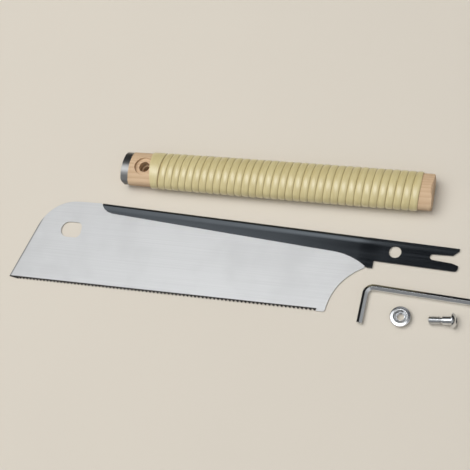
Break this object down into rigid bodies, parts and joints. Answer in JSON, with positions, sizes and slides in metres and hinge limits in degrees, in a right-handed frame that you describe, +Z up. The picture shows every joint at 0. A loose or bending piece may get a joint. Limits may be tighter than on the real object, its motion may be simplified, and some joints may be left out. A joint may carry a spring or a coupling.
{
  "type": "pull saw",
  "caption": "Japanese pull saw taken apart for a blade change: cane-wound wooden handle with ferrule, toothed plate with folded back and forked tang, clamp bolt, round nut and hex key.",
  "frame": {"origin": "on the bench, under the middle of the laid-out set", "axes": "+X along the handle from its mouth to its tail, +Y away from the teeth, +Z up from the bench"},
  "size_m": [0.3532, 0.1139, 0.0184],
  "materials": {
    "handle_wood": "bare, fine sanded",
    "ferrule_steel": "polished, grey",
    "cane": "satin cane skin",
    "pin_steel": "plain",
    "plate_steel": "fine brushed, bright",
    "blued_back": "blue-black, satin",
    "bright_hardware": "bright plated"
  },
  "bodies": {
    "handle": {"handle_core": "handle_wood", "ferrule": "ferrule_steel", "grip_wrap": "cane", "anchor_pin": "pin_steel"},
    "blade": {"saw_plate": "plate_steel", "back_spine": "blued_back"},
    "bolt": {"clamp_bolt": "bright_hardware"},
    "nut": {"clamp_nut": "bright_hardware"},
    "key": {"hex_key": "bright_hardware"}
  },
  "joints": [
    {"name": "blade_draw", "type": "slide", "parent": "handle", "child": "blade", "axis": [-0.9995, 0.0321, 0], "range_m": [0, 0.063]},
    {"name": "bolt_turn", "type": "hinge", "parent": "handle", "child": "bolt", "pos_m": [0.1656, -0.0479, 0.0052], "axis": [0.9876, 0.0639, 0.1437], "continuous": true},
    {"name": "nut_turn", "type": "hinge", "parent": "handle", "child": "nut", "pos_m": [0.1308, -0.0491, 0], "axis": [0, 0, 1], "continuous": true},
    {"name": "key_swing", "type": "hinge", "parent": "handle", "child": "key", "pos_m": [0.1047, -0.0301, 0.00231], "axis": [-0.0419, -0.9991, 0], "range_deg": [0, 120]}
  ]
}
